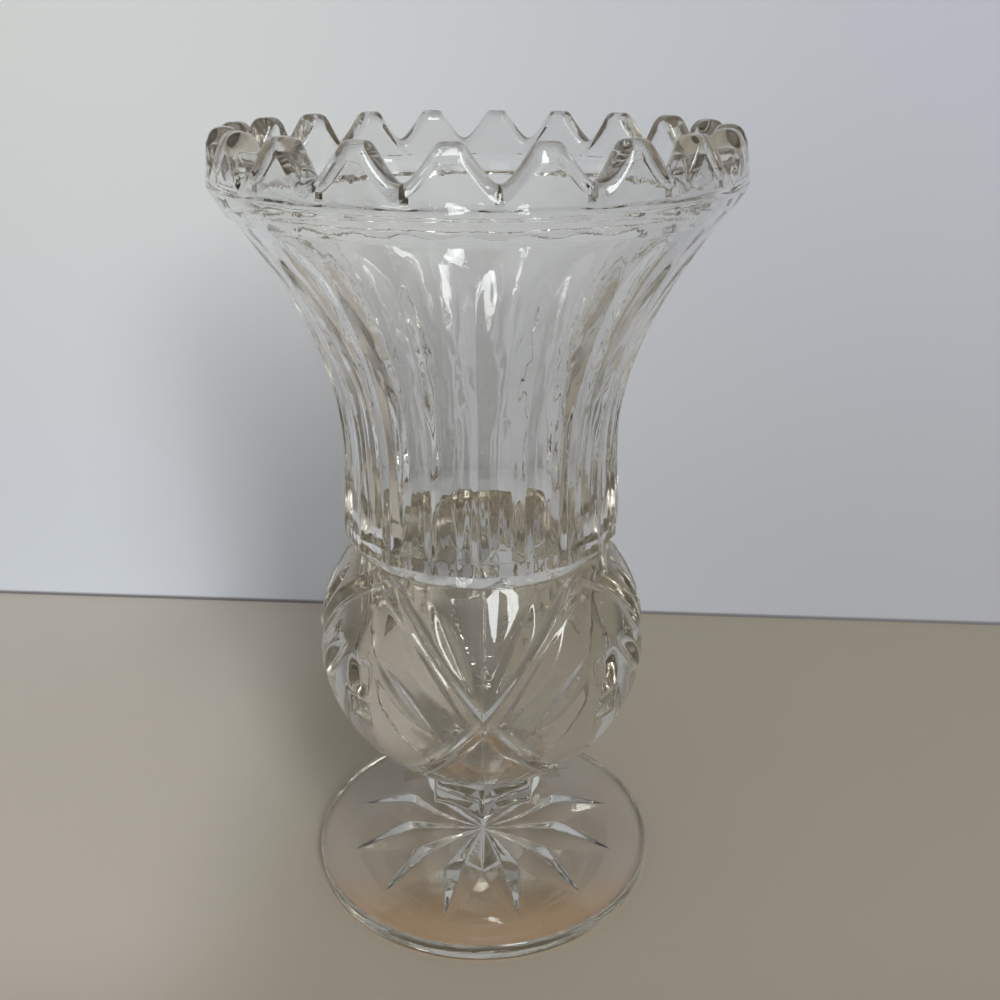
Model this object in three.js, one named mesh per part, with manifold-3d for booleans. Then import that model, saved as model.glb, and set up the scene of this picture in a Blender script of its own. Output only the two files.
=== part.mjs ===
import * as THREE from "three";
import { mergeVertices } from "three/addons/utils/BufferGeometryUtils.js";
import Module from "manifold-3d";

// A footed bud vase of clear glass, pressed in one piece. Millimetres, +Z up.
// The origin is the middle of the circle on which the foot rests, and the front is towards -Y.
// Turns are in degrees around the vase from the front, towards +X.

// Foot: a domed disc
const footRadius = 30.7;
const footEdgeHeight = 3.2;
const footEdgeRounding = 0.7;
const footRise = 10.3;
const footRiseBend = 1.7; // 1 is a plain cone, more is hollower
const restingRingWidth = 4.5;
const undersideRecess = 0.5;

// Star pressed into the underside of the foot
const starPoints = 12;
const starTipRadius = 24.4;
const starWidestRadius = 11; // up to here each ray touches its neighbours
const starOverlap = 1.04; // how much wider a ray is there than its share of the circle
const starSlope = 1.8; // half the width of a ray for each millimetre of its depth
const starTaper = 1.4; // 1 is a straight taper from the widest place to the tip, more is rounder

// Stem: a short prism with a corner to the front, drawn in a little below the bulb
const stemSides = 6;
const stemRadius = 10;
const stemHeight = 8;
const stemBlockHeight = 2.2;
const stemWaistRadius = 9;

// Bulb: a ball between the stem and the ledge, a little flatter below its middle
const bulbRadius = 28;
const bulbDrop = 25.5; // from its middle to where its underside would end without the stem
const bulbTopRadius = 20.7;

// Ledge: the band on the bulb from which the neck rises
const ledgeRadius = 23;
const ledgeFlare = 2.2; // height of the slope from the bulb out to the band
const ledgeHeight = 3.1; // of the upright band itself
const ledgeFacetHeight = 2.6;

// Neck: a fluted trumpet
const neckHeight = 49.15;
const neckTopRadius = 36.95;
const waistHandleRadius = 22.4;
const flareHandleRadius = 19.6;
const fluteCount = 20;
const fluteDepth = 1.4;
const fluteRunOut = 4;
const fluteSeat = 0.1; // how far the ledge's slope reaches in under the flutes

// Collar and toothed rim
const collarHeight = 3.65;
const collarStep = 0.3; // the fine edge where the collar starts
const collarRounding = 0.9; // of the edge between the collar and the upright band
const rimRadius = 39.35;
const rimHeight = 7.65;
const tipRadius = 38.5;
const outerLipRounding = 1.7;
const innerLipRounding = 1;
const toothCount = 20;
const toothDepth = 4.7;
const toothTurn = -4;
const toothSteepness = 1.45; // of a tooth's straight flanks
const valleyRounding = 1.5;

// Inside: a trumpet down to the throat, then a slow taper to a round end in the bulb
const rimWall = 4.6;
const neckWall = 5.8; // at the throat, to the corners of the ledge
const throatHeight = 14.5; // above the ledge
const throatRise = 7.6; // how far the well stays nearly upright above its throat
const wellEndRadius = 16;
const wellFloorThickness = 3.5; // glass between the stem and the well

// Cut pattern of the bulb, in degrees of turn and of latitude
const panelCount = 4;
const panelTurn = 1.5; // from the front to the first crossing
const crossingLatitude = -2.5;
const mitreTilt = 52.4; // of each long cut, from the level, where two of them cross
const mitreReach = 62; // from a crossing to the end of a long cut
const mitreDepth = 1.1;
const mitreSlope = 1.45; // half the width of a cut for each millimetre of its depth
const leafSlope = 1.7;
const rayDepth = 1.25;
const raySlope = 2;

// Buttons between the panels: a rounded window above a small square
const buttonTurn = 45;
const windowHalfWidth = 2.6;
const windowHalfHeight = 3.7;
const windowDepth = 1.1;
const windowFlat = 0.5; // size of its flat middle, as a share of the whole
const windowRise = 3.1; // from the middle of the bulb to the middle of the window
const squareDrop = 3.2; // from the middle of the bulb down to the middle of the square
const squareHalfWidth = 1.35; // to the deepest line of its frame
const squareDepth = 0.95;
const squareSlope = 1.2;

// Flat sides of the round forms
const footSides = 48;
const bodySides = 40;
const clear = 1; // how far a cutter stands out of the glass

// Heights of the joins, from the table
const stemBottom = footEdgeHeight + footRise;
const stemTop = stemBottom + stemHeight;
const bulbMiddle = stemTop + bulbDrop * Math.sqrt(1 - (stemRadius / bulbRadius) ** 2);
const ledgeBottom = bulbMiddle + Math.sqrt(bulbRadius ** 2 - bulbTopRadius ** 2);
const ledgeTop = ledgeBottom + ledgeFlare + ledgeHeight;
const neckTop = ledgeTop + neckHeight;
const rimMiddle = neckTop + collarHeight;
const height = rimMiddle + rimHeight;
const throat = ledgeTop + throatHeight;
const wellFloor = stemTop + wellFloorThickness;

const wasm = await Module();
wasm.setup();

function solid(geometry) {
  const plain = geometry.clone();
  plain.deleteAttribute("normal");
  plain.deleteAttribute("uv");
  const merged = mergeVertices(plain, 1e-4);
  const made = new wasm.Manifold(
    new wasm.Mesh({
      numProp: 3,
      vertProperties: merged.attributes.position.array,
      triVerts: new Uint32Array(merged.index.array),
    }),
  );
  if (made.volume() <= 0) throw new Error("a form has its faces turned inwards");
  return made;
}

function geometryOf(form) {
  const { vertProperties, triVerts } = form.getMesh();
  const geometry = new THREE.BufferGeometry();
  geometry.setAttribute("position", new THREE.BufferAttribute(new Float32Array(vertProperties), 3));
  geometry.setIndex(new THREE.BufferAttribute(new Uint32Array(triVerts), 1));
  const flat = geometry.toNonIndexed();
  flat.computeVertexNormals();
  return flat;
}

const point = (radius, z) => new THREE.Vector2(radius, z);
const radians = THREE.MathUtils.degToRad;

// Revolves an outline of radius and height that starts and ends on the axis.
function revolve(outline, sides) {
  const geometry = new THREE.LatheGeometry(outline, sides);
  geometry.rotateX(Math.PI / 2);
  geometry.rotateZ(-Math.PI / 2);
  return solid(geometry);
}

// Skins a row of closed sections, each a list of as many points, and caps both ends.
function loft(sections) {
  const size = sections[0].length;
  const positions = sections.flat().flatMap((p) => [p.x, p.y, p.z]);
  const faces = [];
  for (let row = 0; row + 1 < sections.length; row++) {
    for (let i = 0; i < size; i++) {
      const a = row * size + i;
      const b = row * size + ((i + 1) % size);
      faces.push(a, b, b + size, a, b + size, a + size);
    }
  }
  const last = (sections.length - 1) * size;
  for (let i = 1; i + 1 < size; i++) {
    faces.push(0, i + 1, i, last, last + i, last + i + 1);
  }
  const geometry = new THREE.BufferGeometry();
  geometry.setAttribute("position", new THREE.Float32BufferAttribute(positions, 3));
  geometry.setIndex(faces);
  return solid(geometry);
}

// Copies a form evenly around the vase, the first one turned by `start` degrees.
function around(form, count, start = 0) {
  return Array.from({ length: count }, (_, i) => form.rotate([0, 0, start + (360 / count) * i]));
}

function foot() {
  const recessRadius = footRadius - footEdgeRounding - restingRingWidth;
  const shoulder = footRadius - footEdgeRounding;
  const outline = [
    point(0, undersideRecess),
    point(recessRadius - undersideRecess, undersideRecess),
    point(recessRadius, 0),
    point(shoulder, 0),
    point(footRadius, footEdgeRounding),
    point(footRadius, footEdgeHeight - footEdgeRounding),
    point(shoulder, footEdgeHeight),
  ];
  const steps = 7;
  const inner = stemRadius * Math.cos(Math.PI / stemSides);
  for (let i = 1; i <= steps; i++) {
    const share = i / steps;
    const radius = THREE.MathUtils.lerp(shoulder, inner, share);
    outline.push(point(radius, footEdgeHeight + footRise * share ** footRiseBend));
  }
  outline.push(point(0, stemBottom));
  return revolve(outline, footSides);
}

// One ray of the star: a V groove that widens from the centre and then narrows to its tip.
function starRay() {
  const steps = 4;
  const deepest = (starOverlap * starWidestRadius * Math.tan(Math.PI / starPoints)) / starSlope;
  const section = (reach, depth) => {
    const half = starSlope * (depth + clear);
    return [
      new THREE.Vector3(reach, half, undersideRecess - clear),
      new THREE.Vector3(reach, 0, undersideRecess + depth),
      new THREE.Vector3(reach, -half, undersideRecess - clear),
    ];
  };
  const sections = [section(0, 0)];
  for (let i = 0; i <= steps; i++) {
    const share = i / steps;
    const reach = THREE.MathUtils.lerp(starWidestRadius, starTipRadius, share);
    sections.push(section(reach, deepest * (1 - share ** starTaper)));
  }
  return loft(sections);
}

function stem() {
  const overlap = 2; // into the foot and into the bulb
  return revolve(
    [
      point(0, stemBottom - overlap),
      point(stemRadius, stemBottom - overlap),
      point(stemRadius, stemBottom + stemBlockHeight),
      point(stemWaistRadius, stemTop - overlap / 2),
      point(stemWaistRadius, stemTop + overlap),
      point(0, stemTop + overlap),
    ],
    stemSides,
  ).rotate([0, 0, 90]);
}

// The neck's outer curve, on the ridges between the flutes.
const neckCurve = new THREE.CubicBezierCurve(
  point(ledgeRadius, ledgeTop),
  point(waistHandleRadius, ledgeTop + neckHeight * 0.26),
  point(flareHandleRadius, ledgeTop + neckHeight * 0.52),
  point(neckTopRadius, neckTop),
);

// The well's curve, from its throat up to the inside of the rim.
const wellCurve = new THREE.CubicBezierCurve(
  point(ledgeRadius - neckWall, throat),
  point(ledgeRadius - neckWall, throat + throatRise),
  point(flareHandleRadius - 1, ledgeTop + neckHeight * 0.62),
  point(rimRadius - rimWall, rimMiddle),
);

// Height of a place on or in the ball, from its height above or below the middle of a true one.
const flattened = (rise) => bulbMiddle + (rise < 0 ? (rise * bulbDrop) / bulbRadius : rise);

// The plain ball, from its lowest point up to the ledge.
function ball() {
  const steps = 10;
  const top = Math.acos(bulbTopRadius / bulbRadius);
  const outline = [point(0, bulbMiddle - bulbDrop)];
  for (let i = 1; i <= steps; i++) {
    const angle = THREE.MathUtils.lerp(-Math.PI / 2, top, i / steps);
    outline.push(point(bulbRadius * Math.cos(angle), flattened(bulbRadius * Math.sin(angle))));
  }
  outline.push(point(0, ledgeBottom));
  return revolve(outline, bodySides);
}

// The ledge has a flat for each flute, and a slope above its band on which the flutes stand.
function ledge() {
  const slopeTop = ledgeRadius - fluteDepth - fluteSeat;
  return revolve(
    [
      point(0, ledgeBottom - 1),
      point(bulbTopRadius - 2 * rayDepth, ledgeBottom - 1),
      point(bulbTopRadius, ledgeBottom),
      point(ledgeRadius, ledgeBottom + ledgeFlare),
      point(ledgeRadius, ledgeTop),
      point(slopeTop, ledgeTop + ledgeFacetHeight),
      point(0, ledgeTop + ledgeFacetHeight),
    ],
    fluteCount,
  );
}

// The neck is a loft of scalloped sections, and its flutes fade out under the collar.
function neck() {
  const rows = 9;
  const lastRow = 0.94; // of the neck's curve, above which the flutes run out
  const pointsPerFlute = 4;
  const places = Array.from({ length: rows + 1 }, (_, i) => (lastRow * i) / rows);
  places.push((1 + lastRow) / 2, 1);
  const sections = [];
  for (const place of places) {
    const ridge = neckCurve.getPoint(place);
    const fade = THREE.MathUtils.smoothstep(neckTop - ridge.y, 0, fluteRunOut);
    const section = [];
    for (let i = 0; i < fluteCount * pointsPerFlute; i++) {
      const across = 2 * ((i % pointsPerFlute) / pointsPerFlute) - 1;
      const radius = ridge.x - fluteDepth * fade * (1 - across ** 2);
      const angle = (2 * Math.PI * i) / (fluteCount * pointsPerFlute);
      section.push(new THREE.Vector3(radius * Math.sin(angle), -radius * Math.cos(angle), ridge.y));
    }
    sections.push(section);
  }
  return loft(sections);
}

// The plain collar over the flutes and the upright band that carries the teeth.
function collar() {
  const start = point(neckTopRadius + collarStep, neckTop - collarStep);
  const edge = point(rimRadius, rimMiddle);
  const down = start.clone().sub(edge).setLength(collarRounding);
  const rounding = new THREE.QuadraticBezierCurve(
    edge.clone().add(down),
    edge,
    point(rimRadius, rimMiddle + collarRounding),
  );
  const lip = new THREE.QuadraticBezierCurve(
    point(tipRadius, height - outerLipRounding),
    point(tipRadius, height),
    point(tipRadius - outerLipRounding, height),
  );
  return revolve(
    [point(0, start.y), start, ...rounding.getPoints(2), ...lip.getPoints(3), point(0, height)],
    bodySides,
  );
}

// The space inside, from above the rim down to its round end.
function well() {
  const outline = [];
  const endSteps = 5;
  for (let i = 0; i <= endSteps; i++) {
    const angle = (Math.PI / 2) * (i / endSteps);
    const rise = wellEndRadius * (1 - Math.cos(angle));
    outline.push(point(wellEndRadius * Math.sin(angle), wellFloor + rise));
  }
  const mouth = tipRadius - rimWall;
  const lip = new THREE.QuadraticBezierCurve(
    point(mouth, height - innerLipRounding),
    point(mouth, height),
    point(mouth + innerLipRounding, height),
  );
  outline.push(...wellCurve.getPoints(8), ...lip.getPoints(2));
  outline.push(point(mouth + innerLipRounding, height + clear), point(0, height + clear));
  return revolve(outline, bodySides);
}

// A cutter for one gap between two teeth, in the plane of the rim and pushed through the wall.
function gapCutter() {
  const steps = 6;
  const half = Math.sqrt((toothDepth / toothSteepness + valleyRounding) ** 2 - valleyRounding ** 2);
  const shape = new THREE.Shape();
  shape.moveTo(-half, clear);
  for (let i = -steps; i <= steps; i++) {
    const across = (half * i) / steps;
    const rise = toothSteepness * (Math.hypot(across, valleyRounding) - valleyRounding);
    shape.lineTo(across, rise - toothDepth);
  }
  shape.lineTo(half, clear);
  const inner = tipRadius - rimWall - 4;
  const geometry = new THREE.ExtrudeGeometry(shape, {
    depth: rimRadius + clear - inner,
    bevelEnabled: false,
  });
  const tangent = new THREE.Vector3(0, 1, 0);
  const up = new THREE.Vector3(0, 0, 1);
  const outward = new THREE.Vector3(1, 0, 0);
  geometry.applyMatrix4(new THREE.Matrix4().makeBasis(tangent, up, outward));
  geometry.translate(inner, 0, height);
  return solid(geometry);
}

function direction(turn, latitude) {
  const a = radians(turn);
  const b = radians(latitude);
  return new THREE.Vector3(Math.sin(a) * Math.cos(b), -Math.cos(a) * Math.cos(b), Math.sin(b));
}

const degreesPerMillimetre = 180 / (Math.PI * bulbRadius); // along the ball

// A V groove that a flat wheel cuts in the bulb, from one direction to another around its middle.
// depthAt gives its depth along the way, and below nothing the cutter is out of the glass.
function groove(start, end, slope, steps, depthAt) {
  const side = new THREE.Vector3().crossVectors(start, end).normalize();
  const length = start.angleTo(end);
  const sections = [];
  for (let i = 0; i <= steps; i++) {
    const share = i / steps;
    const out = start.clone().applyAxisAngle(side, length * share);
    const depth = depthAt(share);
    const half = slope * (depth + clear);
    const top = out.clone().multiplyScalar(bulbRadius + clear);
    const section = [
      top.clone().addScaledVector(side, half),
      top.clone().addScaledVector(side, -half),
      out.clone().multiplyScalar(bulbRadius - depth),
    ];
    for (const p of section) p.z = flattened(p.z);
    sections.push(section);
  }
  return loft(sections);
}

// A leaf is deepest in its middle and comes to a point at both ends.
function leaf(root, tip, depth) {
  const out = 0.15; // the cutter's height above the glass at both ends
  const depthAt = (share) => (depth + out) * Math.sin(Math.PI * share) - out;
  return groove(direction(...root), direction(...tip), leafSlope, 4, depthAt);
}

// A ray starts as a point and gets deeper on its way up, until it runs out under the ledge.
function ray(root, end) {
  const depthAt = (share) => rayDepth * share;
  return groove(direction(...root), direction(...end), raySlope, 3, depthAt);
}

// One of the two long cuts that make a crossing. The other is its mirror image.
function mitre(side) {
  const middle = direction(0, crossingLatitude);
  const level = new THREE.Vector3(side, 0, 0);
  const along = level.applyAxisAngle(middle, side * radians(mitreTilt));
  const axis = new THREE.Vector3().crossVectors(middle, along);
  const reach = radians(mitreReach);
  const start = middle.clone().applyAxisAngle(axis, -reach);
  const end = middle.clone().applyAxisAngle(axis, reach);
  return groove(start, end, mitreSlope, 10, () => mitreDepth);
}

// On the right of one crossing, each cut with its root and its tip, and each leaf with its depth.
const rayEnds = [[2.5, 13], [7, 48]];
const leafRows = [
  [[2.5, 6], [19, 36], 0.95],
  [[5, -2], [29.5, 27], 1],
  [[14, -9], [37, 15], 0.9],
  [[9, -9], [28, -36], 0.6],
];

function panel() {
  const cutters = [];
  for (const side of [-1, 1]) {
    const there = ([turn, latitude]) => [side * turn, latitude];
    cutters.push(mitre(side));
    cutters.push(ray(...rayEnds.map(there)));
    for (const [root, tip, depth] of leafRows) {
      cutters.push(leaf(there(root), there(tip), depth));
    }
  }
  return cutters;
}

// The rounded window of a button: a flat with sloping sides.
function buttonWindow() {
  const out = direction(buttonTurn, windowRise * degreesPerMillimetre);
  const wide = 1 + ((1 - windowFlat) * clear) / windowDepth;
  const thickness = windowDepth + clear;
  const geometry = new THREE.CylinderGeometry(wide, windowFlat, thickness, 12);
  geometry.scale(windowHalfWidth, 1, windowHalfHeight);
  const east = direction(buttonTurn + 90, 0);
  const down = new THREE.Vector3().crossVectors(east, out);
  geometry.applyMatrix4(new THREE.Matrix4().makeBasis(east, out, down));
  const middle = out.clone().multiplyScalar(bulbRadius - windowDepth + thickness / 2);
  geometry.translate(middle.x, middle.y, middle.z + bulbMiddle);
  return solid(geometry);
}

// Four short grooves frame the square of a button.
function squareFrame() {
  const near = squareHalfWidth * degreesPerMillimetre;
  const far = (squareHalfWidth + squareDepth) * degreesPerMillimetre;
  const middle = -squareDrop * degreesPerMillimetre;
  const line = (start, end) =>
    groove(direction(...start), direction(...end), squareSlope, 1, () => squareDepth);
  return [
    line([buttonTurn - near, middle - far], [buttonTurn - near, middle + far]),
    line([buttonTurn + near, middle - far], [buttonTurn + near, middle + far]),
    line([buttonTurn - far, middle - near], [buttonTurn + far, middle - near]),
    line([buttonTurn - far, middle + near], [buttonTurn + far, middle + near]),
  ];
}

// The ball with its pattern, which repeats in each panel.
function bulb() {
  const pattern = [...panel(), buttonWindow(), ...squareFrame()];
  return pattern
    .flatMap((cutter) => around(cutter, panelCount, panelTurn))
    .reduce((glass, cutter) => glass.subtract(cutter), ball());
}

function vase() {
  const cutters = [
    well(),
    ...around(starRay(), starPoints, 180 / starPoints),
    ...around(gapCutter(), toothCount, toothTurn + 180 / toothCount - 90),
  ];
  const pieces = [foot(), stem(), bulb(), ledge(), neck(), collar()];
  const blank = pieces.reduce((glass, piece) => glass.add(piece));
  return cutters.reduce((glass, cutter) => glass.subtract(cutter), blank);
}

const clearGlass = new THREE.MeshStandardMaterial({
  color: 0xe9edea,
  roughness: 0.05,
  metalness: 0,
  transparent: true,
  opacity: 0.35,
});

const group = new THREE.Group();
const mesh = new THREE.Mesh(geometryOf(vase()), clearGlass);
mesh.name = "vase";
group.add(mesh);

export default group;
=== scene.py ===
import math

import bpy
import numpy as np
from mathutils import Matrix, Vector


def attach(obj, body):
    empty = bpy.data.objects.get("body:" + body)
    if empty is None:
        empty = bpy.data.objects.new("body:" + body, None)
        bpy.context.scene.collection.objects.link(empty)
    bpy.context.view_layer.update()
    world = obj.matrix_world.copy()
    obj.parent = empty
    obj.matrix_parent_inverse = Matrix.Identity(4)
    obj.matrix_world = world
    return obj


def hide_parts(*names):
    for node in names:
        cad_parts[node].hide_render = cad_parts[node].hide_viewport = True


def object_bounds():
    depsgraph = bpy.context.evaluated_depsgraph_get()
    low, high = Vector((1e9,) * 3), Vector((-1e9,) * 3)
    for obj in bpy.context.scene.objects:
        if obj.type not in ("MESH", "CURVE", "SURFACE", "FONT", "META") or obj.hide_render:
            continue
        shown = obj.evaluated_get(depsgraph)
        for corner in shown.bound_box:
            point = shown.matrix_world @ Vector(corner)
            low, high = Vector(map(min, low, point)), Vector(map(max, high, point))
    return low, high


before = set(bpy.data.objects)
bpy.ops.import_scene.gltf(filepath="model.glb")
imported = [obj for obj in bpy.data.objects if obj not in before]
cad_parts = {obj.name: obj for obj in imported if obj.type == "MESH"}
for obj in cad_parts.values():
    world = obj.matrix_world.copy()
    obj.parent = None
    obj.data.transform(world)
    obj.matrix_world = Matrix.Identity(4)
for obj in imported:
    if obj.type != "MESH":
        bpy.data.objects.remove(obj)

MM = 0.001
cad_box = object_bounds()

# Sizes in millimetres. Turns are in degrees around the vase from the front, towards +X.
HEIGHT = cad_box[1].z / MM
RIM_RADIUS = cad_box[1].x / MM

FOOT_RADIUS = 30.7
FOOT_EDGE_HEIGHT = 3.2
FOOT_EDGE_ROUNDING = 0.7
FOOT_TOP_START = 1.2  # from the rounding of the edge to where the top begins to rise
FOOT_RISE = 10.3
FOOT_RISE_BEND = 1.7
RESTING_RING_WIDTH = 4.5
UNDERSIDE_RECESS = 0.5
RECESS_FADE_WIDTH = 4.0
RECESS_FADE_OUT = 1.5  # how far into the resting ring the recess fades out

STAR_POINTS = 12
STAR_TIP_RADIUS = 24.4
STAR_WIDEST_RADIUS = 11.0
STAR_OVERLAP = 1.04  # how much wider a ray is at that radius than its share of the circle
STAR_SLOPE = 1.8  # half the width of a ray for each millimetre of its depth
STAR_TAPER = 1.4
STAR_ROUNDING = 0.1

STEM_RADIUS = 10.0
STEM_SIDES = 6
STEM_CORNER_CUT = 0.15
STEM_ROUNDING = 0.25
STEM_BLOCK_TOP = 15.7
STEM_WAIST = 0.9  # its width where it meets the bulb, as a share of the block's

BULB_RADIUS = 28.0
BULB_DROP = 25.5  # from its middle to where its underside would end without the stem
BULB_MIDDLE = 45.32
BULB_TOP_RADIUS = 20.7

LEDGE_RADIUS = 23.0
LEDGE_FLARE = 3.0
LEDGE_HEIGHT = 2.3
LEDGE_FACET_HEIGHT = 2.6
LEDGE_FACET_ROUNDING = 0.12
FLUTES = 20
FLUTE_DEPTH = 0.9
FLUTE_ROUNDING = 0.1
FLUTE_RUN_OUT = 10.0
FLUTE_END = 1.3  # how far below the collar the flutes have run out

NECK_HEIGHT = 49.15
NECK_TOP_RADIUS = 36.95
# A radius and a share of the neck's height for each of two points that steer a curve
RIDGE_BENDS = (22.4, 0.26), (19.6, 0.52)
WELL_BENDS = (17.5, 0.45), (18.6, 0.62)

COLLAR_HEIGHT = 3.65
COLLAR_ROUNDING = 2.2
COLLAR_STEP = 0.3
TIP_RADIUS = 38.5
TEETH = 20
TOOTH_DEPTH = 4.7
TOOTH_TURN = -4.0
TOOTH_STEEPNESS = 1.45
VALLEY_ROUNDING = 1.5
LIP_ROUNDING = 2.0
INNER_LIP_ROUNDING = 1.9
TIP_CORNER = 0.35

RIM_WALL = 4.6
INNER_CORNER_ROUNDING = 1.4
WELL_FLOOR = 25.0
WELL_THROAT = 84.0  # the height at which the trumpet meets the slow taper below it
WELL_THROAT_RADIUS = 17.2
WELL_END_RADIUS = 16.0

# The cut pattern of the bulb. A place on it has a turn and a latitude, in degrees.
PANELS = 4
PANEL_TURN = 1.5
CROSSING = (0, -2.5)
MITRE_TIP = (45, 41.5)
LOWER_MITRE_TIP = (25, -31)
MITRE_DEPTH = 1.1
LOWER_MITRE_DEPTH = 0.8
MITRE_SLOPE = 1.45  # half the width of a cut for each millimetre of its depth
CUT_ROUNDING = 0.1
RAY_ROOT = (4, 20)
RAY_END = (7.5, 46)
RAY_DEPTH = 0.32
RAY_SLOPE = 8.0
LEAF_SLOPE = 1.7
# The root and the tip of each leaf, its depth, and how far its deepest place leans to the tip
LEAVES = [
    ((2.5, 6), (19, 36), 0.95, 1.3),
    ((5, -2), (29.5, 27), 1.0, 1.3),
    ((14, -9), (37, 15), 0.9, 1.2),
    ((9, -9), (28, -36), 0.6, 1.0),
]
SEAM_HEIGHT = 0.16  # the line that the mould leaves down the middle of each panel
SEAM_HALF_TURN = 0.2

# The window and the square button between two panels. Their middles are above or below the widest line.
WINDOW_MIDDLE, WINDOW_HALF_WIDTH, WINDOW_HALF_HEIGHT = 3.0, 2.5, 3.6
OVAL_MIDDLE, OVAL_HALF_WIDTH, OVAL_HALF_HEIGHT = 3.2, 2.9, 3.9
WINDOW_ROUNDING = 0.1
WINDOW_DEPTH = 1.1
WINDOW_SIDE_SLOPE = 2.2
BUTTON_MIDDLE = -3.2
BUTTON_HALF_WIDTH = 2.3
BUTTON_TOP_DEPTH = 0.2
BUTTON_SLOPE = 0.55

# Radii and heights of the joins, from the sizes above
SHOULDER_RADIUS = FOOT_RADIUS - FOOT_EDGE_ROUNDING
RECESS_RADIUS = SHOULDER_RADIUS - RESTING_RING_WIDTH
STEM_APOTHEM = STEM_RADIUS * math.cos(math.pi / STEM_SIDES)
LEDGE_BOTTOM = BULB_MIDDLE + math.sqrt(BULB_RADIUS**2 - BULB_TOP_RADIUS**2)
LEDGE_TOP = LEDGE_BOTTOM + LEDGE_FLARE + LEDGE_HEIGHT
NECK_TOP = LEDGE_TOP + NECK_HEIGHT
RIM_MIDDLE = NECK_TOP + COLLAR_HEIGHT
INNER_RIM_RADIUS = RIM_RADIUS - RIM_WALL
INNER_BAND_BOTTOM = RIM_MIDDLE + 1.2
TRUMPET_TOP = RIM_MIDDLE - 0.5

COLUMNS = 720  # points round the vase
EDGE = 0.16  # how softly the pressed edges are rounded

# The glass. A scale is about how often the noise varies in a metre, and a distance is in metres.
GLASS_COLOUR = (0.985, 0.99, 0.985)
GLASS_IOR = 1.52
GLASS_ROUGHNESS = 0.03  # at most, where the chill marks are strongest
TINT_COLOUR = (0.84, 0.82, 0.775)
TINT_DENSITY = 40.0
WAVES_SCALE, WAVES_DISTANCE, WAVES_STRENGTH = 140, 0.001, 0.10
CHILL_SCALE, CHILL_DISTANCE, CHILL_STRENGTH = 900, 0.0005, 0.03
STREAKS_SCALE, STREAKS_DISTANCE = 380, 0.0006
STREAKS_DRAW = 0.05  # the noise's scale along the neck as a share of its scale round it
STREAKS_FULL = 8  # from this far above the ledge downwards the streaks have their full strength

# Colours of the table, the wall and the room around them
TABLE_NEAR = (0.35, 0.315, 0.255)
# painted light: a paler pool on the table to the left of the vase
TABLE_LEFT_PAINTED_LIGHT = (0.50, 0.455, 0.405)
TABLE_FRONT = (0.31, 0.26, 0.205)
TABLE_PAINTED_GLOW = (0.60, 0.51, 0.41)  # painted light: a pool where the glass would gather light beneath the foot
# painted warm light towards the front of the foot's ring
TABLE_PAINTED_WARM_GLOW = (0.64, 0.44, 0.27)
TABLE_FAR = (0.10, 0.08, 0.06)
# The wall's colours carry painted light and shade: lighter to the top left, darker to the right and
# higher up
WALL_TOP_LEFT = (0.97, 1.0, 1.0)
WALL_TOP_RIGHT = (0.69, 0.71, 0.79)
WALL_LOW_LEFT = (0.84, 0.89, 0.98)
WALL_LOW_RIGHT = (0.58, 0.59, 0.64)
WALL_FAR_RIGHT = (0.28, 0.26, 0.24)
WALL_HIGH = (0.42, 0.38, 0.34)
# painted shade along the corner where the wall meets the table
WALL_CORNER_SHADE = (0.25, 0.24, 0.25)
ROOM_FRONT = (0.52, 0.545, 0.575)
ROOM_SIDES = (0.07, 0.055, 0.04)
ROOM_MIDDLE = (0.30, 0.28, 0.25)
ROOM_HIGH = (0.86, 0.86, 0.85)
MATTE_ROUGHNESS = 0.8
MATTE_GLOSS = 0.2

# Where one of those colours gives way to the next, in metres from the middle of the foot
NEAR_TO_PAINTED_LEFT_LIGHT = (-0.025, -0.065)
NEAR_TO_FRONT = (-0.02, -0.08)
PAINTED_GLOW_TO_WARM = (-0.008, -0.022)
TABLE_TO_PAINTED_GLOW = (0.0315, 0.029)
NEAR_TO_ASIDE = (0.13, 0.30)
NEAR_TO_FORWARD = (-0.08, -0.25)
WALL_LEFT_TO_RIGHT = (-0.11, 0.11)
WALL_LOW_TO_TOP = (0.0, 0.15)
WALL_TO_FAR_RIGHT = (0.12, 0.30)
WALL_TO_HIGH = (0.28, 0.45)
WALL_TO_CORNER_SHADE = (0.0014, 0.0004)
# The same for the room, as parts of a direction of length 1
FRONT_TO_SIDES = (0.4, 0.8)
LOW_TO_MIDDLE = (0.2, 0.45)
MIDDLE_TO_HIGH = (0.6, 0.8)

# Table, wall and window lamp, in metres
TABLE_HEIGHT = -0.00005
STAGE_REACH = 3.0
WALL_DISTANCE = 0.0913
WALL_SKEW = 0.067  # how much nearer the wall comes with each metre to the right
WINDOW_PLACE = (0.287, -0.71, 0.71)
WINDOW_AIM = (0, 0, 0.07)
WINDOW_SIZE = (0.20, 0.70)
WINDOW_WATTS = 5.5
WINDOW_COLOUR = (0.97, 1.0, 1.0)

# The photograph's camera: pixels, millimetres and degrees
PHOTO_WIDTH = 1000
FOCAL_PIXELS = 1068.85
CAMERA_PLACE = (3.178, -164.882, 139.276)
CAMERA_TILT = 22.723
SENSOR_WIDTH = 36.0
NEAREST_SEEN = 5.0

GLASS_BOUNCES = 24
GLOSSY_BOUNCES = 12


def turns_of(columns):
    return np.arange(columns) * 360.0 / columns


def fold(turn, copies, start=0.0):
    """The turn from the nearest of so many copies around the vase, in degrees."""
    pitch = 360.0 / copies
    return (turn - start + pitch / 2) % pitch - pitch / 2


def soft_plus(x, edge):
    """A number above 0 and nothing below it, with a rounded bend between them."""
    return (x + np.sqrt(x * x + edge * edge)) / 2


def soft_max(a, b, edge):
    return b + soft_plus(a - b, edge)


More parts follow.
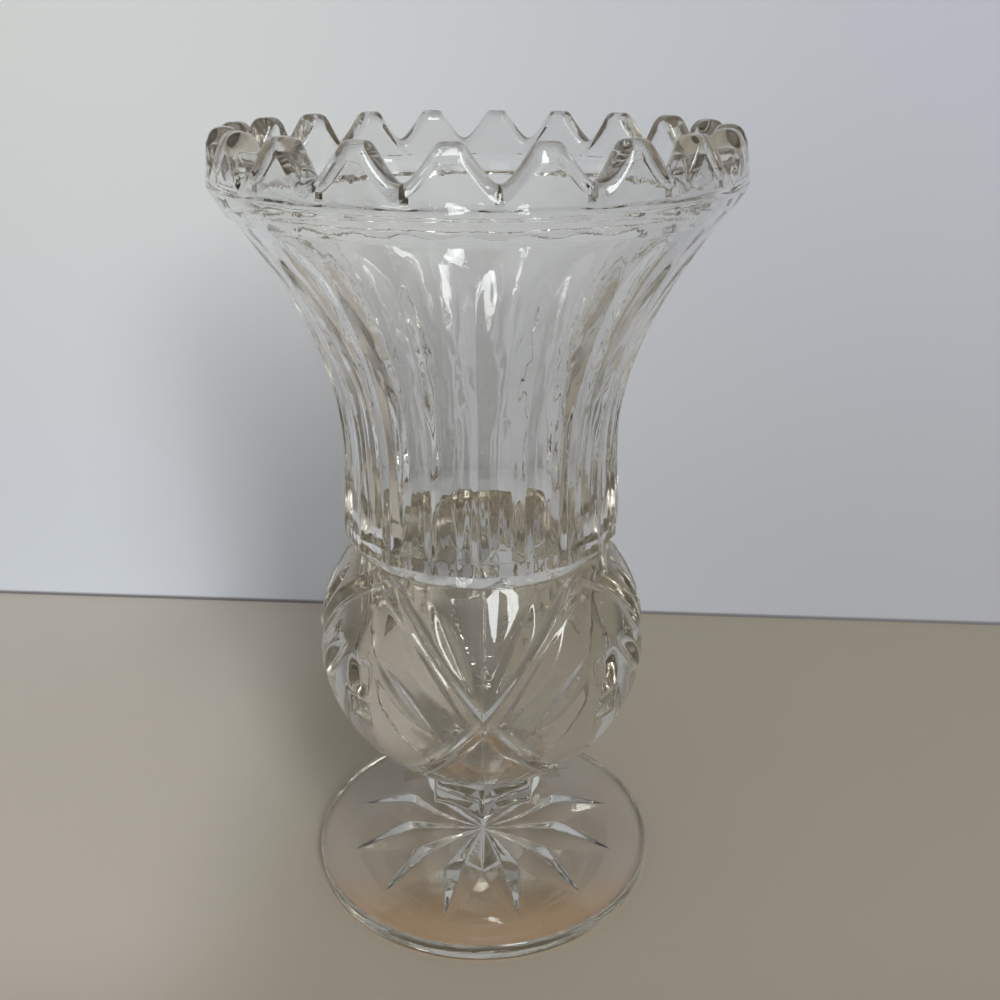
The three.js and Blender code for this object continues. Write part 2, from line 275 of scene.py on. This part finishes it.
def soft_union(depths):
    """The deepest of many cuts at each place, rounded where they meet, and nothing below 0."""
    total = np.ones_like(depths[0])
    for depth in depths:
        total += np.exp(depth / EDGE)
    return EDGE * np.log(total)


def bezier(points, t):
    a, b, c, d = [np.array(p)[:, None] for p in points]
    return a * (1 - t) ** 3 + 3 * b * t * (1 - t) ** 2 + 3 * c * t * t * (1 - t) + d * t**3


def round_corners(points, radii, steps=4):
    """A polyline whose corners are rounded by the radii given, as an array of points."""
    out = [np.array(points[0], float)]
    for before, corner, after, radius in zip(points, points[1:], points[2:], radii):
        corner = np.array(corner, float)
        a = np.array(before, float) - corner
        b = np.array(after, float) - corner
        a /= np.linalg.norm(a)
        b /= np.linalg.norm(b)
        half = math.acos(np.clip(a @ b, -1, 1)) / 2
        reach = radius / math.tan(half)
        start, end = corner + a * reach, corner + b * reach
        for t in np.linspace(0, 1, steps + 1):
            out.append(start * (1 - t) ** 2 + 2 * corner * t * (1 - t) + end * t * t)
    out.append(np.array(points[-1], float))
    return np.array(out)


def ring(turn, radius, z):
    """A row of points round the vase."""
    angle = np.radians(turn)
    radius = np.broadcast_to(radius, turn.shape)
    z = np.broadcast_to(z, turn.shape)
    return np.stack([radius * np.sin(angle), -radius * np.cos(angle), z], axis=1)


def star_depth(turn, radius):
    """How deep the star is pressed into the underside of the foot."""
    off = np.radians(fold(turn, STAR_POINTS, 180 / STAR_POINTS))
    along = radius * np.cos(off)
    across = np.sqrt((radius * np.sin(off)) ** 2 + STAR_ROUNDING**2)
    deepest = STAR_OVERLAP * STAR_WIDEST_RADIUS * math.tan(math.pi / STAR_POINTS) / STAR_SLOPE
    share = np.clip((along - STAR_WIDEST_RADIUS) / (STAR_TIP_RADIUS - STAR_WIDEST_RADIUS), 0, 2)
    depth = np.where(
        along < STAR_WIDEST_RADIUS,
        deepest * along / STAR_WIDEST_RADIUS,
        deepest * (1 - share**STAR_TAPER),
    )
    return soft_plus(depth - across / STAR_SLOPE, STAR_ROUNDING)


def underside_height(radius):
    """The recess inside the resting ring, which it meets without an edge."""
    share = np.clip((RECESS_RADIUS + RECESS_FADE_OUT - radius) / RECESS_FADE_WIDTH, 0, 1)
    return UNDERSIDE_RECESS * share * share * (3 - 2 * share)


def underside_columns(radius):
    """Fewer points in the small rows at the middle."""
    if radius < 3:
        return COLUMNS // 4
    if radius < 9:
        return COLUMNS // 2
    return COLUMNS


def underside():
    middle_rows = np.arange(0.4, 5, 0.4)
    outer_rows = np.arange(5, RECESS_RADIUS - 0.6, 0.35)
    rings = []
    for radius in np.concatenate([middle_rows, outer_rows]):
        turn = turns_of(underside_columns(radius))
        rings.append(ring(turn, radius, underside_height(radius) + star_depth(turn, radius)))
    return rings


def foot_top(radius):
    share = np.clip((SHOULDER_RADIUS - radius) / (SHOULDER_RADIUS - STEM_APOTHEM), 0, 1)
    return FOOT_EDGE_HEIGHT + FOOT_RISE * share**FOOT_RISE_BEND


def stem_section(turn):
    """The stem's outline, a hexagon with softened corners, with one of them to the front."""
    off = np.radians(fold(turn, STEM_SIDES, 180 / STEM_SIDES))
    sharp = STEM_APOTHEM / np.cos(off)
    return sharp - soft_plus(sharp - (STEM_RADIUS - STEM_CORNER_CUT), STEM_ROUNDING)


def foot():
    """From the end of the recess over the resting ring and the edge, and up to the stem."""
    recess_end = RECESS_RADIUS - 0.5
    ring_start = RECESS_RADIUS + 2.0
    top_start = SHOULDER_RADIUS - FOOT_TOP_START
    outline = round_corners(
        [
            (recess_end, underside_height(recess_end)),
            (ring_start, 0),
            (FOOT_RADIUS, 0),
            (FOOT_RADIUS, FOOT_EDGE_HEIGHT),
            (top_start, FOOT_EDGE_HEIGHT + 0.04),
        ],
        [0.3, FOOT_EDGE_ROUNDING, FOOT_EDGE_ROUNDING],
    )
    turn = turns_of(COLUMNS)
    rings = [ring(turn, radius, z) for radius, z in outline]
    section = stem_section(turn)
    for t in np.linspace(0, 1, 44)[1:]:
        radius = top_start * (1 - t) + section * t
        rings.append(ring(turn, radius, foot_top(radius)))
    return rings


def stem():
    """A low six-sided block, drawn in a little below the bulb."""
    turn = turns_of(COLUMNS)
    section = stem_section(turn)
    foot_z = foot_top(section)
    waist_z = BULB_MIDDLE - BULB_DROP * np.sqrt(1 - (section * STEM_WAIST / BULB_RADIUS) ** 2)
    side_end = STEM_BLOCK_TOP - STEM_ROUNDING
    rings = []
    for t in np.linspace(0.15, 1, 7):
        rings.append(ring(turn, section, foot_z * (1 - t) + side_end * t))
    inset = 0.08  # of the middle of the rounded edge, from the side and from the top
    rings.append(ring(turn, section - inset, STEM_BLOCK_TOP - inset))
    rings.append(ring(turn, section - STEM_ROUNDING, STEM_BLOCK_TOP))
    for t in np.linspace(0.1, 0.95, 8):
        scale = 1 + (STEM_WAIST - 1) * math.sin(t * math.pi / 2)
        radius = section * scale - STEM_ROUNDING * (1 - t)
        rings.append(ring(turn, radius, STEM_BLOCK_TOP * (1 - t) + waist_z * t))
    return rings


def facing(turn, latitude):
    """The direction from the middle of the ball to a place on it."""
    t, b = np.radians(turn), np.radians(latitude)
    parts = np.broadcast_arrays(np.sin(t) * np.cos(b), -np.cos(t) * np.cos(b), np.sin(b))
    return np.stack(parts, axis=-1)


def cut(places, start, end, slope, profile):
    """The depth of a V groove that a flat wheel cuts in the ball from one place to another."""
    a, b = facing(*start), facing(*end)
    side = np.cross(a, b)
    length = math.asin(np.linalg.norm(side))
    side /= np.linalg.norm(side)
    along = np.arctan2(places @ np.cross(side, a), places @ a) / length
    across = BULB_RADIUS * np.arcsin(np.clip(places @ side, -1, 1))
    return profile(along) - (np.sqrt(across**2 + CUT_ROUNDING**2) - CUT_ROUNDING) / slope


def mitre_profile(depth):
    """One depth all the way, from just before the root."""
    return lambda along: np.where(along > -0.05, depth, -1.0)


def leaf_profile(depth, lean):
    """Deepest in the middle, or towards the tip for a lean above 1, and nothing at both ends."""

    def profile(along):
        inside = np.clip(along, 0, 1) ** lean
        outside = np.abs(along - np.clip(along, 0, 1))
        return depth * (4 * inside * (1 - inside) - 8 * outside)

    return profile


def ray_profile(depth):
    """Nothing at the root and deeper and deeper on the way, until it runs out under the ledge."""
    return lambda along: depth * np.where(along > 0, np.abs(along) ** 0.8, 8 * along)


def bulb_depth(turn, latitude):
    """How deep the pattern is pressed into the ball."""
    t = fold(turn, PANELS, PANEL_TURN)
    cuts = []
    for side in (-1, 1):
        places = facing(side * t, latitude)
        cuts.append(cut(places, CROSSING, MITRE_TIP, MITRE_SLOPE, mitre_profile(MITRE_DEPTH)))
        lower_profile = mitre_profile(LOWER_MITRE_DEPTH)
        cuts.append(cut(places, CROSSING, LOWER_MITRE_TIP, MITRE_SLOPE, lower_profile))
        cuts.append(cut(places, RAY_ROOT, RAY_END, RAY_SLOPE, ray_profile(RAY_DEPTH)))
        for root, tip, depth, lean in LEAVES:
            cuts.append(cut(places, root, tip, LEAF_SLOPE, leaf_profile(depth, lean)))
    cuts += button_cuts(t, latitude)
    return soft_union(cuts)


def button_cuts(turn, latitude):
    """A rounded window and a small square pyramid, one above the other, between two panels."""
    off = (np.abs(turn) - 180 / PANELS) * np.cos(np.radians(latitude)) * BULB_RADIUS * math.pi / 180
    up = latitude * BULB_RADIUS * math.pi / 180
    square = np.maximum(np.abs(off) / WINDOW_HALF_WIDTH, np.abs(up - WINDOW_MIDDLE) / WINDOW_HALF_HEIGHT)
    oval = np.sqrt((off / OVAL_HALF_WIDTH) ** 2 + ((up - OVAL_MIDDLE) / OVAL_HALF_HEIGHT) ** 2)
    window = WINDOW_SIDE_SLOPE * (1 - soft_max(square, oval, WINDOW_ROUNDING))
    from_middle = np.maximum(np.abs(off), np.abs(up - BUTTON_MIDDLE))
    pyramid = BUTTON_TOP_DEPTH + from_middle * BUTTON_SLOPE
    return [np.minimum(WINDOW_DEPTH, window), np.minimum(BUTTON_HALF_WIDTH - from_middle, pyramid)]


def bulb():
    """The ball, a little flattened below its widest line. The pattern fades out at both ends."""
    turn = turns_of(COLUMNS)
    low = -np.degrees(np.arccos(STEM_WAIST * stem_section(turn) / BULB_RADIUS))
    high = math.degrees(math.acos(BULB_TOP_RADIUS / BULB_RADIUS))
    seam = SEAM_HEIGHT * (np.abs(fold(turn, PANELS, PANEL_TURN)) < SEAM_HALF_TURN)
    rings = []
    for t in np.linspace(0, 1, 212):
        latitude = low * (1 - t) + high * t
        shown = min(1, t * 40, (1 - t) * 40)
        radius = BULB_RADIUS - bulb_depth(turn, latitude) * shown + seam
        b = np.radians(latitude)
        rise = radius * np.sin(b)
        flattened = np.where(rise < 0, rise * BULB_DROP / BULB_RADIUS, rise)
        rings.append(ring(turn, radius * np.cos(b), BULB_MIDDLE + flattened))
    return rings


def ledge_section(turn):
    """The ledge's outline: a flat for each flute, with its corners on the ridges."""
    off = np.radians(fold(turn, FLUTES, 180 / FLUTES))
    return LEDGE_RADIUS * math.cos(math.pi / FLUTES) / np.cos(off)


def neck_point(radius, share):
    return radius, LEDGE_TOP + NECK_HEIGHT * share


def ridge_curve(z):
    """The neck's radius on its ridges, at a height."""
    bends = [neck_point(*bend) for bend in RIDGE_BENDS]
    points = [(LEDGE_RADIUS, LEDGE_TOP), *bends, (NECK_TOP_RADIUS, NECK_TOP)]
    radii, heights = bezier(points, np.linspace(0, 1, 200))
    return np.interp(z, heights, radii)


def flute_depth(turn, z):
    """Scallops with a rounded top, so that each narrows as it runs out under the collar."""
    across = fold(turn, FLUTES, 180 / FLUTES) / (180 / FLUTES)
    fade = np.clip((NECK_TOP - FLUTE_END - z) / FLUTE_RUN_OUT, -1, 1)
    depth = FLUTE_DEPTH * (1 - (1 - fade) ** 2)
    return soft_plus(depth - FLUTE_DEPTH * across**2, FLUTE_ROUNDING)


def ledge():
    """A flare from the round ball to the flats, and the flats."""
    turn = turns_of(COLUMNS)
    section = ledge_section(turn)
    flats_bottom = LEDGE_TOP - LEDGE_HEIGHT
    # The first number of each point is how far the ball's circle has turned into the flats' outline
    flare = round_corners(
        [(0, LEDGE_BOTTOM), (0.02, LEDGE_BOTTOM + 0.3), (1, flats_bottom), (1, LEDGE_TOP)],
        [0.05, 0.1],
    )
    rings = [ring(turn, BULB_TOP_RADIUS * (1 - share) + section * share, z) for share, z in flare[:-1]]
    for below_top in (1.6, 0.25):
        rings.append(ring(turn, section, LEDGE_TOP - below_top))
    return rings


def neck():
    """The flutes and, at the foot of each, a sloped facet down to the ledge."""
    turn = turns_of(COLUMNS)
    section = ledge_section(turn)
    slope = (FLUTE_DEPTH + 0.1) / LEDGE_FACET_HEIGHT
    # Close rows over the facets and below the collar, and wider ones between them
    facet_rows = LEDGE_TOP + np.arange(0, LEDGE_FACET_HEIGHT + 1.2, 0.3)
    middle_rows = np.linspace(LEDGE_TOP + LEDGE_FACET_HEIGHT + 1.4, NECK_TOP - 9, 30)
    top_rows = np.arange(NECK_TOP - 8.6, NECK_TOP - 0.35, 0.4)
    rings = []
    for z in np.concatenate([facet_rows, middle_rows, top_rows]):
        fluted = ridge_curve(z) - flute_depth(turn, z)
        facet = section - slope * (z - LEDGE_TOP)
        rings.append(ring(turn, soft_max(fluted, facet, LEDGE_FACET_ROUNDING), z))
    return rings


def tooth_top(turn):
    """The height of the rim's edge: flat tips, straight flanks and rounded valleys."""
    pitch = 2 * math.pi * TIP_RADIUS / TEETH
    from_valley = np.abs(fold(turn, TEETH, TOOTH_TURN + 180 / TEETH)) / (360 / TEETH) * pitch
    rise = TOOTH_STEEPNESS * (np.sqrt(from_valley**2 + VALLEY_ROUNDING**2) - VALLEY_ROUNDING)
    return HEIGHT - soft_plus(TOOTH_DEPTH - rise, TIP_CORNER)


def band_radius(z):
    """The outside of the upright band, which leans in a little towards the tips."""
    lean = (z - RIM_MIDDLE) / (HEIGHT - RIM_MIDDLE)
    return RIM_RADIUS + (TIP_RADIUS - RIM_RADIUS) * lean


def collar():
    """A small step out from the neck, then a cone out to the band."""
    turn = turns_of(COLUMNS)
    step_radius = NECK_TOP_RADIUS + COLLAR_STEP
    step_z = NECK_TOP - COLLAR_STEP
    cone = round_corners(
        [(step_radius, step_z), (RIM_RADIUS, RIM_MIDDLE - 0.4), (RIM_RADIUS, RIM_MIDDLE + 1)],
        [COLLAR_ROUNDING],
        8,
    )
    rings = [ring(turn, ridge_curve(step_z) + 0.05, step_z - 0.02)]
    rings += [ring(turn, radius, z) for radius, z in cone[:-1]]
    return rings


def band():
    turn = turns_of(COLUMNS)
    lip_start = tooth_top(turn) - LIP_ROUNDING
    rings = []
    for t in np.linspace(0, 1, 14)[1:]:
        z = RIM_MIDDLE * (1 - t) + lip_start * t
        rings.append(ring(turn, band_radius(z), z))
    return rings


def lip():
    """The rounded edge that follows the teeth, from the band's outside to its inside."""
    turn = turns_of(COLUMNS)
    top = tooth_top(turn)
    outer = band_radius(top)
    inner = outer - RIM_WALL
    rings = []
    for a in np.radians([15, 30, 45, 60, 75, 90]):
        inset, drop = LIP_ROUNDING * (1 - math.cos(a)), LIP_ROUNDING * (1 - math.sin(a))
        rings.append(ring(turn, outer - inset, top - drop))
    for t in np.linspace(0, 1, 5)[1:-1]:
        radius = (outer - LIP_ROUNDING) * (1 - t) + (inner + INNER_LIP_ROUNDING) * t
        rings.append(ring(turn, radius, top))
    for a in np.radians([90, 60, 30, 0]):
        inset, drop = INNER_LIP_ROUNDING * (1 - math.cos(a)), INNER_LIP_ROUNDING * (1 - math.sin(a))
        rings.append(ring(turn, inner + inset, top - drop))
    return rings


def inner_band():
    turn = turns_of(COLUMNS)
    lip_end = tooth_top(turn) - INNER_LIP_ROUNDING
    rings = []
    for t in np.linspace(0, 1, 10)[1:]:
        z = lip_end * (1 - t) + INNER_BAND_BOTTOM * t
        rings.append(ring(turn, band_radius(z) - RIM_WALL, z))
    return rings


def well():
    """The inside: a trumpet down to the throat, then a slow taper to a round end in the ball."""
    turn = turns_of(COLUMNS // 2)
    bends = [neck_point(*bend) for bend in WELL_BENDS]
    corner = (INNER_RIM_RADIUS, TRUMPET_TOP)
    points = [(WELL_THROAT_RADIUS, WELL_THROAT), *bends, corner]
    skipped = 4  # points of the trumpet that its rounded upper corner stands for
    trumpet = bezier(points, np.linspace(1, 0, 48))[:, skipped:]
    upper_corner = round_corners(
        [(INNER_RIM_RADIUS, INNER_BAND_BOTTOM), corner, tuple(trumpet[:, 0])],
        [INNER_CORNER_ROUNDING],
        6,
    )
    rings = [ring(turn, radius, z) for radius, z in upper_corner[1:-1]]
    rings += [ring(turn, radius, z) for radius, z in zip(*trumpet)]
    end = WELL_FLOOR + WELL_END_RADIUS
    for t in np.linspace(0, 1, 30)[1:]:
        radius = WELL_THROAT_RADIUS * (1 - t) + WELL_END_RADIUS * t
        rings.append(ring(turn, radius, WELL_THROAT * (1 - t) + end * t))
    for angle in np.radians(np.linspace(0, 90, 20))[1:-1]:
        radius, drop = WELL_END_RADIUS * math.cos(angle), WELL_END_RADIUS * math.sin(angle)
        rings.append(ring(turn, radius, end - drop))
    return rings


def skin(rings, bottom, top):
    """Joins rows of points round the vase into one closed mesh. A row may have half or twice the
    points of the one before it.
    """
    vertices = np.concatenate([np.array([bottom]), *rings, np.array([top])])
    start = 1
    first = len(rings[0])
    faces = [(0, start + (i + 1) % first, start + i) for i in range(first)]
    for row, next_row in zip(rings, rings[1:]):
        after = start + len(row)
        fewer = min(len(row), len(next_row))
        for i in range(fewer):
            j = (i + 1) % fewer
            if len(row) == len(next_row):
                faces.append((start + i, start + j, after + j, after + i))
            elif len(row) == fewer:
                faces.append((start + i, start + j, after + 2 * j, after + 2 * i + 1, after + 2 * i))
            else:
                faces.append((start + 2 * i, start + 2 * i + 1, start + 2 * j, after + j, after + i))
        start = after
    last = len(rings[-1])
    end = len(vertices) - 1
    faces += [(start + i, start + (i + 1) % last, end) for i in range(last)]
    return vertices, faces


def make_vase():
    outside = underside() + foot() + stem() + bulb() + ledge() + neck() + collar() + band()
    inside = inner_band() + well()
    vertices, faces = skin(outside + lip() + inside, (0, 0, UNDERSIDE_RECESS), (0, 0, WELL_FLOOR))
    mesh = bpy.data.meshes.new("pressed_glass_vase")
    mesh.from_pydata((vertices * MM).tolist(), [], faces)
    mesh.polygons.foreach_set("use_smooth", [True] * len(mesh.polygons))
    mesh.update()
    vase = bpy.data.objects.new("pressed_glass_vase", mesh)
    bpy.context.scene.collection.objects.link(vase)
    return vase


def nodes_of(material):
    material.use_nodes = True
    tree = material.node_tree
    tree.nodes.clear()
    return tree, tree.nodes.new, tree.links.new


def calculated(tree, operation, *values):
    """What one operation makes of the outputs of other nodes."""
    node = tree.nodes.new("ShaderNodeMath")
    node.operation = operation
    for value, socket in zip(values, node.inputs):
        tree.links.new(value, socket)
    return node.outputs["Value"]


def ranged(tree, value, start, end):
    """0 where the value is at its start, 1 at its end, and a smooth step between them."""
    step = tree.nodes.new("ShaderNodeMapRange")
    step.interpolation_type = "SMOOTHSTEP"
    step.inputs["From Min"].default_value = start
    step.inputs["From Max"].default_value = end
    tree.links.new(value, step.inputs["Value"])
    return step.outputs["Result"]


def blend(tree, factor, first, second):
    """A mix of two colours, each of them three numbers or the output of a node."""
    mix = tree.nodes.new("ShaderNodeMix")
    mix.data_type = "RGBA"
    tree.links.new(factor, mix.inputs["Factor"])
    for name, colour in (("A", first), ("B", second)):
        socket = next(i for i in mix.inputs if i.name == name and i.type == "RGBA")
        if isinstance(colour, tuple):
            socket.default_value = (*colour, 1)
        else:
            tree.links.new(colour, socket)
    return next(o for o in mix.outputs if o.type == "RGBA")


def place_of(tree, kind="Object"):
    """The X, Y and Z of a place on the object, or of a direction in the world."""
    place = tree.nodes.new("ShaderNodeTexCoord")
    parts = tree.nodes.new("ShaderNodeSeparateXYZ")
    tree.links.new(place.outputs[kind], parts.inputs["Vector"])
    return parts.outputs["X"], parts.outputs["Y"], parts.outputs["Z"]


def distance_of(tree):
    """How far a place is from the middle of the foot."""
    place = tree.nodes.new("ShaderNodeTexCoord")
    length = tree.nodes.new("ShaderNodeVectorMath")
    length.operation = "LENGTH"
    tree.links.new(place.outputs["Object"], length.inputs[0])
    return length.outputs["Value"]


def noise(tree, place, scale, detail):
    texture = tree.nodes.new("ShaderNodeTexNoise")
    texture.inputs["Scale"].default_value = scale
    texture.inputs["Detail"].default_value = detail
    tree.links.new(place, texture.inputs["Vector"])
    return texture.outputs["Fac"]


def bump(tree, height, distance):
    """A node that raises the surface by a height."""
    node = tree.nodes.new("ShaderNodeBump")
    node.inputs["Distance"].default_value = distance
    tree.links.new(height, node.inputs["Height"])
    return node


def streaks_strength(tree):
    """Strongest low on the neck, fading towards its top, and nothing below the ledge."""
    _, _, height = place_of(tree)
    on_neck = ranged(tree, height, NECK_TOP * MM, (LEDGE_TOP + STREAKS_FULL) * MM)
    off_ledge = ranged(tree, height, LEDGE_BOTTOM * MM, LEDGE_TOP * MM)
    return calculated(tree, "MULTIPLY", on_neck, off_ledge)


def glass_material():
    """Clear soda glass: faint waves and chill marks from the mould, and streaks down the neck."""
    material = bpy.data.materials.new("clear_pressed_glass")
    tree, node, link = nodes_of(material)
    glass = node("ShaderNodeBsdfPrincipled")
    glass.inputs["Base Color"].default_value = (*GLASS_COLOUR, 1)
    glass.inputs["IOR"].default_value = GLASS_IOR
    glass.inputs["Transmission Weight"].default_value = 1.0
    place = node("ShaderNodeTexCoord").outputs["Object"]

    waves = bump(tree, noise(tree, place, WAVES_SCALE, 1.0), WAVES_DISTANCE)
    waves.inputs["Strength"].default_value = WAVES_STRENGTH
    chill_height = noise(tree, place, CHILL_SCALE, 2.0)
    chill = bump(tree, chill_height, CHILL_DISTANCE)
    chill.inputs["Strength"].default_value = CHILL_STRENGTH
    link(waves.outputs["Normal"], chill.inputs["Normal"])
    drawn_out = node("ShaderNodeMapping")
    drawn_out.inputs["Scale"].default_value = (1, 1, STREAKS_DRAW)
    link(place, drawn_out.inputs["Vector"])
    streaks = bump(tree, noise(tree, drawn_out.outputs["Vector"], STREAKS_SCALE, 1.0), STREAKS_DISTANCE)
    link(streaks_strength(tree), streaks.inputs["Strength"])
    link(chill.outputs["Normal"], streaks.inputs["Normal"])
    link(streaks.outputs["Normal"], glass.inputs["Normal"])

    rough = node("ShaderNodeMapRange")
    rough.inputs["From Min"].default_value = 0.35
    rough.inputs["From Max"].default_value = 0.75
    rough.inputs["To Min"].default_value = 0.0
    rough.inputs["To Max"].default_value = GLASS_ROUGHNESS
    link(chill_height, rough.inputs["Value"])
    link(rough.outputs["Result"], glass.inputs["Roughness"])

    tint = node("ShaderNodeVolumeAbsorption")
    tint.inputs["Color"].default_value = (*TINT_COLOUR, 1)
    tint.inputs["Density"].default_value = TINT_DENSITY
    out = node("ShaderNodeOutputMaterial")
    link(glass.outputs["BSDF"], out.inputs["Surface"])
    link(tint.outputs["Volume"], out.inputs["Volume"])
    return material


def matte_material(name, paint_of, one_sided=False):
    """Matte paint. A one-sided wall is clear from its back, so that the vase shows from there too."""
    material = bpy.data.materials.new(name)
    tree, node, link = nodes_of(material)
    out = node("ShaderNodeOutputMaterial")
    surface = node("ShaderNodeBsdfPrincipled")
    surface.inputs["Roughness"].default_value = MATTE_ROUGHNESS
    surface.inputs["Specular IOR Level"].default_value = MATTE_GLOSS
    link(paint_of(tree), surface.inputs["Base Color"])
    shader = surface.outputs["BSDF"]
    if one_sided:
        sides = node("ShaderNodeMixShader")
        link(node("ShaderNodeNewGeometry").outputs["Backfacing"], sides.inputs[0])
        link(shader, sides.inputs[1])
        link(node("ShaderNodeBsdfTransparent").outputs["BSDF"], sides.inputs[2])
        shader = sides.outputs["Shader"]
    link(shader, out.inputs["Surface"])
    return material


def table_paint(tree):
    """Darker to the front and further off, with painted light: paler to the left, and a painted warm
    glow beneath the foot.
    """
    x, y, _ = place_of(tree)
    # painted light, paler to the left of the vase
    left = blend(tree, ranged(tree, x, *NEAR_TO_PAINTED_LEFT_LIGHT), TABLE_NEAR, TABLE_LEFT_PAINTED_LIGHT)
    front = blend(tree, ranged(tree, y, *NEAR_TO_FRONT), left, TABLE_FRONT)
    # painted light beneath the foot, warmer towards its front
    painted_glow = blend(tree, ranged(tree, y, *PAINTED_GLOW_TO_WARM), TABLE_PAINTED_GLOW, TABLE_PAINTED_WARM_GLOW)
    near = blend(tree, ranged(tree, distance_of(tree), *TABLE_TO_PAINTED_GLOW), front, painted_glow)
    aside = ranged(tree, calculated(tree, "ABSOLUTE", x), *NEAR_TO_ASIDE)
    forward = ranged(tree, y, *NEAR_TO_FORWARD)
    return blend(tree, calculated(tree, "MAXIMUM", aside, forward), near, TABLE_FAR)


def wall_paint(tree):
    """Painted light and shade: lighter towards the top and the left, darker further right and higher up,
    and painted shade where it meets the table.
    """
    x, _, z = place_of(tree)
    # painted light and shade across the wall
    across = ranged(tree, x, *WALL_LEFT_TO_RIGHT)
    low = blend(tree, across, WALL_LOW_LEFT, WALL_LOW_RIGHT)
    top = blend(tree, across, WALL_TOP_LEFT, WALL_TOP_RIGHT)
    near = blend(tree, ranged(tree, z, *WALL_LOW_TO_TOP), low, top)
    aside = blend(tree, ranged(tree, x, *WALL_TO_FAR_RIGHT), near, WALL_FAR_RIGHT)
    above = blend(tree, ranged(tree, z, *WALL_TO_HIGH), aside, WALL_HIGH)
    # painted shade in the corner along the table
    return blend(tree, ranged(tree, z, *WALL_TO_CORNER_SHADE), above, WALL_CORNER_SHADE)


def plane(name, corners, material):
    mesh = bpy.data.meshes.new(name)
    mesh.from_pydata(corners, [], [tuple(range(len(corners)))])
    mesh.materials.append(material)
    thing = bpy.data.objects.new(name, mesh)
    bpy.context.scene.collection.objects.link(thing)


def make_stage():
    """A pale table that meets a wall a little behind the vase."""
    low, reach = TABLE_HEIGHT, STAGE_REACH
    left_back, right_back = WALL_DISTANCE + WALL_SKEW * reach, WALL_DISTANCE - WALL_SKEW * reach
    corners = [(-reach, -reach, low), (reach, -reach, low), (reach, reach, low), (-reach, reach, low)]
    plane("table", corners, matte_material("table", table_paint))
    foot_of_wall = [(-reach, left_back, low), (reach, right_back, low)]
    top_of_wall = [(reach, right_back, reach), (-reach, left_back, reach)]
    plane("wall", foot_of_wall + top_of_wall, matte_material("wall", wall_paint, one_sided=True))


def window_light():
    light = bpy.data.lights.new("window", "AREA")
    light.shape = "RECTANGLE"
    light.size, light.size_y = WINDOW_SIZE
    light.energy = WINDOW_WATTS
    light.color = WINDOW_COLOUR
    thing = bpy.data.objects.new("window", light)
    bpy.context.scene.collection.objects.link(thing)
    thing.location = WINDOW_PLACE
    towards = Vector(WINDOW_AIM) - Vector(WINDOW_PLACE)
    thing.rotation_euler = towards.to_track_quat("-Z", "Y").to_euler()


def room_light():
    """A room that is dark at the sides and pale overhead."""
    world = bpy.data.worlds.new("room")
    bpy.context.scene.world = world
    world.use_nodes = True
    tree = world.node_tree
    x, _, z = place_of(tree, "Generated")
    aside = ranged(tree, calculated(tree, "ABSOLUTE", x), *FRONT_TO_SIDES)
    low = blend(tree, aside, ROOM_FRONT, ROOM_SIDES)
    middle = blend(tree, ranged(tree, z, *LOW_TO_MIDDLE), low, ROOM_MIDDLE)
    room = blend(tree, ranged(tree, z, *MIDDLE_TO_HIGH), middle, ROOM_HIGH)
    background = tree.nodes["Background"]
    tree.links.new(room, background.inputs["Color"])
    background.inputs["Strength"].default_value = 1.0


def make_camera():
    """At the place and with the tilt and focal length of the photograph's camera."""
    camera = bpy.data.cameras.new("camera")
    camera.sensor_width = SENSOR_WIDTH
    camera.lens = FOCAL_PIXELS / PHOTO_WIDTH * SENSOR_WIDTH
    camera.clip_start = NEAREST_SEEN * MM
    thing = bpy.data.objects.new("camera", camera)
    bpy.context.scene.collection.objects.link(thing)
    thing.location = [place * MM for place in CAMERA_PLACE]
    thing.rotation_euler = (math.radians(90 - CAMERA_TILT), 0, 0)
    bpy.context.scene.camera = thing


def set_view():
    scene = bpy.context.scene
    scene.view_settings.view_transform = "Standard"
    scene.cycles.max_bounces = GLASS_BOUNCES
    scene.cycles.transmission_bounces = GLASS_BOUNCES
    scene.cycles.glossy_bounces = GLOSSY_BOUNCES


vase = make_vase()
vase.data.materials.append(glass_material())
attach(vase, "root")
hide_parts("vase")
make_stage()
room_light()
window_light()
make_camera()
set_view()
